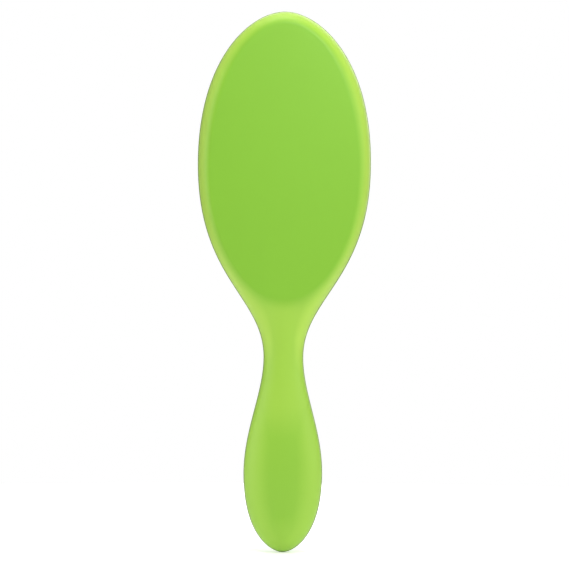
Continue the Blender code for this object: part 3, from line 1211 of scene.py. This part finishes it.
class NodeTree(NodeBuilder):
    """A Geometry Nodes tree whose sizes are named inputs."""

    def __init__(self, name: str) -> None:
        """Start a tree that takes and gives geometry.

        Args:
            name: the tree's name.
        """
        super().__init__(bpy.data.node_groups.new(name, "GeometryNodeTree"))
        self.tree.is_modifier = True
        self.identifiers: dict[str, str] = {}
        self._socket("Geometry", "NodeSocketGeometry", "INPUT")
        self._socket("Geometry", "NodeSocketGeometry", "OUTPUT")
        self.inlet = self.tree.nodes.new("NodeGroupInput")
        self.outlet = self.tree.nodes.new("NodeGroupOutput")

    def _socket(self, name: str, kind: str, way: str) -> bpy.types.NodeTreeInterfaceSocket:
        """Add a socket to the tree's own inputs or outputs."""
        return self.tree.interface.new_socket(name=name, in_out=way, socket_type=kind)

    def size(self, name: str, kind: str = "NodeSocketFloat") -> bpy.types.NodeSocket:
        """A named input of the tree."""
        self.identifiers[name] = self._socket(name, kind, "INPUT").identifier
        return self.inlet.outputs[name]

    def node(self, kind: str, settings: dict | None = None, sockets: dict | None = None,
             output: int | str = 0) -> bpy.types.NodeSocket:
        """Add a node and take one of its outputs."""
        return self.make(kind, settings, sockets).outputs[output]

    @property
    def points(self) -> bpy.types.NodeSocket:
        """The geometry that the tree is given."""
        return self.inlet.outputs[0]

    def maths(self, operation: str, first: Socket, second: Socket = 0.0) -> bpy.types.NodeSocket:
        """Add one Math node."""
        return self.node("ShaderNodeMath", {"operation": operation}, {0: first, 1: second})

    def circle(self, corners: int, radius: Socket) -> bpy.types.NodeSocket:
        """Add a circle with a number of corners."""
        return self.node("GeometryNodeCurvePrimitiveCircle", None, {"Resolution": corners, "Radius": radius})

    def copies(self, shape: bpy.types.NodeSocket, **sockets: Socket) -> bpy.types.NodeSocket:
        """Put a copy of a shape on each of the tree's points."""
        return self.node("GeometryNodeInstanceOnPoints", None,
                         {"Points": self.points, "Instance": shape} | sockets)

    def choose(self, index: bpy.types.NodeSocket, values: Sequence[Socket]) -> bpy.types.NodeSocket:
        """Add an Index Switch.

        Args:
            index: the number that chooses.
            values: what it chooses from, sockets or numbers.

        Returns:
            The chosen number.
        """
        made = self.tree.nodes.new("GeometryNodeIndexSwitch")
        made.data_type = "FLOAT"
        while len(made.index_switch_items) < len(values):
            made.index_switch_items.new()
        for socket, value in zip(made.inputs[1:], values):
            self.feed(socket, value)
        self.feed(made.inputs[0], index)
        return made.outputs[0]

    def result(self, parts: Sequence[bpy.types.NodeSocket], material: bpy.types.NodeSocket) -> None:
        """End the tree: real geometry, smooth, with its material.

        Args:
            parts: the geometry to join.
            material: the material that all of it gets.
        """
        join = self.tree.nodes.new("GeometryNodeJoinGeometry")
        for part in parts:
            self.tree.links.new(part, join.inputs[0])
        real = self.node("GeometryNodeRealizeInstances", None, {"Geometry": join.outputs[0]})
        smooth = self.node("GeometryNodeSetShadeSmooth", None, {0: real})
        dressed = self.node("GeometryNodeSetMaterial", None, {"Geometry": smooth, "Material": material})
        self.tree.links.new(dressed, self.outlet.inputs[0])

    def run(self, name: str, points: np.ndarray, sizes: dict[str, object],
            flags: dict[str, Sequence[bool]] | None = None) -> bpy.types.Object:
        """Apply the tree to points and return the result as a plain mesh object.

        Args:
            name: the piece's name.
            points: one row of x, y, z for each copy.
            sizes: a value for each named input.
            flags: yes or no for each point, stored by name.

        Returns:
            The made object, with no modifier left.
        """
        seed = bpy.data.meshes.new(f"{name}_points")
        seed.from_pydata(points.tolist(), [], [])
        for key, marks in (flags or {}).items():
            seed.attributes.new(key, "BOOLEAN", "POINT").data.foreach_set("value", list(marks))
        holder = bpy.data.objects.new(f"{name}_seed", seed)
        bpy.context.scene.collection.objects.link(holder)
        modifier = holder.modifiers.new("Make", "NODES")
        modifier.node_group = self.tree
        for key, value in sizes.items():
            modifier[self.identifiers[key]] = value
        graph = bpy.context.evaluated_depsgraph_get()
        mesh = bpy.data.meshes.new_from_object(holder.evaluated_get(graph), depsgraph=graph)
        mesh.name = name
        bpy.data.objects.remove(holder)
        bpy.data.meshes.remove(seed)
        made = bpy.data.objects.new(name, mesh)
        bpy.context.scene.collection.objects.link(made)
        return made


@dataclass
class WirePins:
    """Staples of bent wire: two pins joined by a crown behind the pad."""

    bend_radius: float = 0.0014
    bent_height: float = 0.0056
    bend_points: int = 5
    tip_length: float = 0.00015
    tip_scale: float = 0.55
    tip_play: float = 0.00005
    sides: int = 8
    pitch: float = 0.0042
    wire: float = 0.0004
    collar_radius: float = 0.00052
    collar_thickness: float = 0.00019
    collar_sides: int = 10
    collar_section_sides: int = 4
    tree: NodeTree = field(init=False)
    collar_tree: NodeTree = field(init=False)

    def __post_init__(self) -> None:
        """Build the two trees."""
        self.tree = self._pin_tree()
        self.collar_tree = self._collar_tree()

    def _pin_tree(self) -> NodeTree:
        """Tree that puts a bent pin on each point, and a crown wire beside the pins that start a staple.

        Returns:
            The tree, with the wire's and the bend's sizes as inputs.
        """
        t = NodeTree("bent_wire_pins")
        radius = t.size("Wire Radius")
        height = t.size("Pin Height")
        bend = t.size("Bend Height")
        curve = t.size("Bend Radius")
        slope = t.size("Bend Slope")
        taper = t.size("Tip Length")
        crown = t.size("Crown Length")
        material = t.size("Material", "NodeSocketMaterial")
        levels: list[Socket] = [0.0]
        for share in np.linspace(-1, 1, self.bend_points):
            levels.append(t.maths("ADD", bend, t.maths("MULTIPLY", curve, float(share))))
        levels += [t.maths("SUBTRACT", height, taper), height]
        line = t.node("GeometryNodeCurvePrimitiveLine", None, {"End": (0, 1, 0)})
        fine = t.node("GeometryNodeResampleCurve", None, {"Curve": line, "Count": len(levels)})
        index = t.node("GeometryNodeInputIndex")
        y = t.choose(index, levels)
        past = t.maths("SUBTRACT", y, bend)
        turned = t.maths("DIVIDE", t.maths("ADD", past, curve), t.maths("MULTIPLY", curve, 2.0))
        held = t.node("ShaderNodeClamp", None, {"Value": turned})
        curved = t.maths("MULTIPLY", curve, t.maths("MULTIPLY", held, held))
        straight = t.maths("MAXIMUM", t.maths("SUBTRACT", past, curve), 0.0)
        drop = t.maths("MULTIPLY", t.maths("ADD", curved, straight), t.maths("MULTIPLY", slope, -1.0))
        place = t.node("ShaderNodeCombineXYZ", None, {"Y": y, "Z": drop})
        bent = t.node("GeometryNodeSetPosition", None, {"Geometry": fine, "Position": place})
        last = len(levels) - 1
        tip = t.node("ShaderNodeMapRange", None, {"Value": index, "From Min": last - 1, "From Max": last,
                                                  "To Min": 1.0, "To Max": self.tip_scale})
        beside = t.node("ShaderNodeCombineXYZ", None, {"X": crown})
        crown_line = t.node("GeometryNodeCurvePrimitiveLine", None, {"End": beside})
        starts = t.node("GeometryNodeInputNamedAttribute", {"data_type": "BOOLEAN"},
                        {"Name": "starts_staple"})
        pins = t.copies(self._tube(t, bent, radius, tip))
        crowns = t.copies(self._tube(t, crown_line, radius, 1.0), Selection=starts)
        t.result([pins, crowns], material)
        return t

    def _tube(self, t: NodeTree, path: bpy.types.NodeSocket, radius: bpy.types.NodeSocket,
              scale: Socket) -> bpy.types.NodeSocket:
        """Add round wire along a path, closed at its ends.

        Args:
            t: the tree.
            path: the curve that the wire follows.
            radius: the wire's radius.
            scale: how much of that radius each point of the path has.

        Returns:
            The wire's mesh.
        """
        sockets = {"Curve": path, "Profile Curve": t.circle(self.sides, radius), "Scale": scale,
                   "Fill Caps": True}
        return t.node("GeometryNodeCurveToMesh", None, sockets)

    def _collar_tree(self) -> NodeTree:
        """Tree that puts a small moulded ring of rubber round the foot of each pin.

        Returns:
            The tree, with the ring's sizes as inputs.
        """
        t = NodeTree("pin_collars")
        reach = t.size("Collar Radius")
        thickness = t.size("Collar Thickness")
        material = t.size("Material", "NodeSocketMaterial")
        path = t.circle(self.collar_sides, reach)
        turned = t.node("GeometryNodeTransform", None, {"Geometry": path, "Rotation": (pi / 2, 0, 0)})
        section = t.circle(self.collar_section_sides, thickness)
        ring = t.node("GeometryNodeCurveToMesh", None, {"Curve": turned, "Profile Curve": section})
        t.result([t.copies(ring)], material)
        return t

    def row_points(self, node: str) -> np.ndarray:
        """Find the feet of one row of pins from its solid's box.

        Args:
            node: the row's solid.

        Returns:
            One row of x, y, z for each pin.
        """
        low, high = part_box(node)
        radius = self.wire / 2
        reach = high.x - radius
        count = round(2 * reach / self.pitch) + 1
        x = np.linspace(-reach, reach, count)
        return np.stack([x, np.full(count, low.y + radius), np.full(count, high.z - radius)], axis=1)

    def row(self, node: str, steel: bpy.types.Material) -> bpy.types.Object:
        """Make one row of pins in place of its solid.

        Args:
            node: the row's solid.
            steel: the wire's material.

        Returns:
            The row's mesh object.
        """
        low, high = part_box(node)
        wire = self.wire
        points = self.row_points(node)
        starts = [k % 2 == 0 and k + 1 < len(points) for k in range(len(points))]
        height = high.y - self.tip_play - points[0, 1]
        slope = (high.z - low.z - wire) / self.bent_height
        sizes = {"Wire Radius": wire / 2, "Pin Height": height, "Bend Height": height - self.bent_height,
                 "Bend Radius": self.bend_radius, "Bend Slope": slope, "Tip Length": self.tip_length,
                 "Crown Length": self.pitch, "Material": steel}
        return self.tree.run(f"{node}_wires", points, sizes, {"starts_staple": starts})

    def collars(self, points: np.ndarray, rubber: bpy.types.Material) -> bpy.types.Object:
        """Make the rubber rings round the feet of the pins.

        Args:
            points: one row of x, y, z for each pin, on the pad's face.
            rubber: the rings' material.

        Returns:
            The mesh object of all rings.
        """
        sizes = {"Collar Radius": self.collar_radius, "Collar Thickness": self.collar_thickness,
                 "Material": rubber}
        return self.collar_tree.run("pin_collars", points, sizes)


# ---------------------------------------------------------------------------------------------------------
# Studio


@dataclass
class Softbox:
    """A square area light aimed at the brush."""

    name: str
    place: tuple[float, float, float]
    size: float
    power: float

    def build(self, target: Vector) -> None:
        """Make the light.

        Args:
            target: the point that it is aimed at.
        """
        data = bpy.data.lights.new(self.name, "AREA")
        data.shape = "SQUARE"
        data.size = self.size
        data.energy = self.power
        made = bpy.data.objects.new(self.name, data)
        made.location = self.place
        made.rotation_euler = (target - Vector(self.place)).to_track_quat("-Z", "Y").to_euler()
        made.visible_camera = False
        bpy.context.scene.collection.objects.link(made)


@dataclass
class Studio:
    """Pale floor, soft lights and the camera.

    The floor glows in two ways: floor_bounce lights the brush from below, and floor_glow and edge_glow are
    seen by the camera only, so that the floor meets the white surround without a line.
    """

    white: Colour = (1, 1, 1, 1)
    black: Colour = (0, 0, 0, 1)
    floor_pale: Colour = (0.90, 0.90, 0.90, 1)
    floor_paler: Colour = (0.93, 0.93, 0.93, 1)
    distance: float = 1.30
    seen_height: float = 0.2337
    centre: tuple[float, float] = (0.00030, 0.0774)
    roll: float = -0.0052
    sensor_width: float = 36.0
    floor_radius: float = 0.45
    floor_corners: int = 96
    floor_roughness: float = 0.8
    floor_near: float = 0.25
    floor_cloud: float = 6
    floor_glow: float = 0.18
    edge_glow: float = 0.45
    floor_bounce: float = 0.145
    surround: float = 0.09
    target: tuple[float, float, float] = (0, 0, 0.10)
    softboxes: tuple[Softbox, ...] = (
        Softbox("top_softbox", (0.09, -0.27, 0.30), 0.18, 0.70),
        Softbox("overhead_softbox", (-0.05, -0.02, 0.90), 0.50, 3.5),
        Softbox("right_softbox", (0.90, -0.30, 0.30), 0.7, 3.1),
        Softbox("left_softbox", (-0.90, -0.25, 0.25), 0.7, 3.8),
        Softbox("rear_softbox", (0.20, 1.15, 0.55), 1.0, 9.0),
    )

    def camera(self) -> None:
        """Set a level camera, square on to the smooth back."""
        data = bpy.data.cameras.new("camera")
        data.sensor_width = self.sensor_width
        data.lens = data.sensor_width * self.distance / self.seen_height
        made = bpy.data.objects.new("camera", data)
        made.location = (self.centre[0], -self.distance, self.centre[1])
        made.rotation_euler = (pi / 2, self.roll, 0)
        bpy.context.scene.collection.objects.link(made)
        bpy.context.scene.camera = made

    def floor(self, height: float) -> None:
        """Lay a pale round floor under the handle's tip.

        Args:
            height: Z of the floor.
        """
        bpy.ops.mesh.primitive_circle_add(vertices=self.floor_corners, radius=self.floor_radius,
                                          fill_type="NGON", location=(0, 0, height))
        made = bpy.context.object
        made.name = "studio_floor"
        shader = Shader("studio_floor")
        seen = shader.node("ShaderNodeLightPath", output="Is Camera Ray")
        reach = shader.node("ShaderNodeVectorMath", {"operation": "LENGTH"}, {0: shader.place()}, "Value")
        far = reach.span(self.floor_radius * self.floor_near, self.floor_radius)
        glow = self.floor_bounce + seen * (self.floor_glow + far * self.edge_glow)
        made.data.materials.append(shader.surface(
            base_color=shader.blend(shader.noise(self.floor_cloud, 2), self.floor_pale, self.floor_paler),
            roughness=self.floor_roughness,
            emission_color=shader.blend(glow, self.black, self.white),
            emission_strength=1.0,
        ))
        made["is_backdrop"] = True

    def world(self) -> None:
        """Set an even surround that the camera sees as white and that lights the brush less."""
        made = bpy.data.worlds.new("studio")
        made.use_nodes = True
        bpy.context.scene.world = made
        tree = made.node_tree
        seen = tree.nodes.new("ShaderNodeLightPath")
        light = tree.nodes["Background"]
        light.inputs["Color"].default_value = self.white
        light.inputs["Strength"].default_value = self.surround
        backdrop = tree.nodes.new("ShaderNodeBackground")
        backdrop.inputs["Color"].default_value = self.white
        mix = tree.nodes.new("ShaderNodeMixShader")
        tree.links.new(seen.outputs["Is Camera Ray"], mix.inputs[0])
        tree.links.new(light.outputs[0], mix.inputs[1])
        tree.links.new(backdrop.outputs[0], mix.inputs[2])
        tree.links.new(mix.outputs[0], tree.nodes["World Output"].inputs["Surface"])

    def build(self, base: float) -> None:
        """Set the whole studio.

        Args:
            base: Z of the floor.
        """
        bpy.context.scene.view_settings.view_transform = "Standard"
        self.camera()
        self.floor(base)
        self.world()
        for softbox in self.softboxes:
            softbox.build(Vector(self.target))


# ---------------------------------------------------------------------------------------------------------
# Assembly


class Brush:
    """Puts every finished piece on its body, in place of the solid it stands for."""

    def __init__(self, frame: dict) -> None:
        """Prepare the sub-assemblies and the finishes.

        Args:
            frame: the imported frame.
        """
        self.nodes = frame["nodes"]
        self.outline = Outline()
        self.cushion = Cushion(self.outline)
        self.pins = WirePins()
        self.green = SoftTouchCoat().material()
        self.rubber = MouldedRubber().material()
        self.steel = DrawnSteel().material()
        self.plastic = FramePlastic().material()
        self.foam = OpenCellFoam().material()
        self.fibre = PressedFibre().material()

    def place(self, piece: bpy.types.Object, body: Body | None, slot: str,
              material: bpy.types.Material, *nodes: str) -> bpy.types.Object:
        """Dress a piece, let it ride on a body and stand for its nodes, and report it.

        Args:
            piece: the finished mesh.
            body: the body that it rides on, or None where it bends between the two.
            slot: the record's material slot.
            material: its finish.
            nodes: the solids that it replaces.

        Returns:
            The piece.
        """
        piece.data.materials.clear()
        piece.data.materials.append(material)
        if body is not None:
            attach(piece, body.value)
        if nodes:
            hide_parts(*nodes)
        log.info("%s: %d faces, %s", piece.name, len(piece.data.polygons), slot)
        return piece

    def shells(self) -> None:
        """Place the two moulded halves of the body."""
        back = BodyShell(Side.BACK, self.outline, head_depth=-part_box("back_shell")[0].y, head_power=2.1,
                         reveal=0.0003)
        # The front solid's box ends at the handle's face, which is 2.3 mm higher than the solid's own rim.
        front = BodyShell(Side.FRONT, self.outline, head_depth=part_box("front_shell")[1].y, head_power=2.0)
        for shell in (back, front):
            self.place(shell.build(), Body.HOUSING, "soft_touch_green", self.green, shell.node)

    def cushioning(self) -> None:
        """Place the pad, its frame, the foam and the card."""
        pad = self.cushion.pad()
        self.place(pad, None, "pad_rubber", self.rubber, "cushion_pad")
        low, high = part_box("cushion_pad")
        shoulder = high.y - self.cushion.crown
        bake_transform(pad)
        self.place(self.cushion.frame(), Body.HOUSING, "frame_plastic", self.plastic, "cushion_frame")
        foam = self.cushion.foam()
        self.place(foam, None, "foam", self.foam, "foam_pad")
        low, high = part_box("foam_pad")
        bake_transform(foam)
        self.place(self.cushion.card(), Body.PIN_BED, "fibre_card", self.fibre, "pin_card")

    def pin_field(self) -> None:
        """Place every row of pins, and the rubber collars round their feet."""
        feet = []
        for name in sorted(name for name in self.nodes if name.startswith("pin_row_")):
            self.place(self.pins.row(name, self.steel), Body.PIN_BED, "steel_wire", self.steel, name)
            feet.append(self.pins.row_points(name))
        points = np.concatenate(feet)
        points[:, 1] = self.cushion.face_depth(points)
        collars = self.pins.collars(points, self.rubber)
        self.place(collars, Body.PIN_BED, "pad_rubber", self.rubber)


def main() -> None:
    """Load the frame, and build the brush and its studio."""
    logging.basicConfig(level=logging.INFO, format="%(name)s: %(message)s")
    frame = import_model()
    solid_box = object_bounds()
    brush = Brush(frame)
    brush.shells()
    brush.cushioning()
    brush.pin_field()
    Studio().build(solid_box[0].z)


if __name__ == "__main__":
    main()
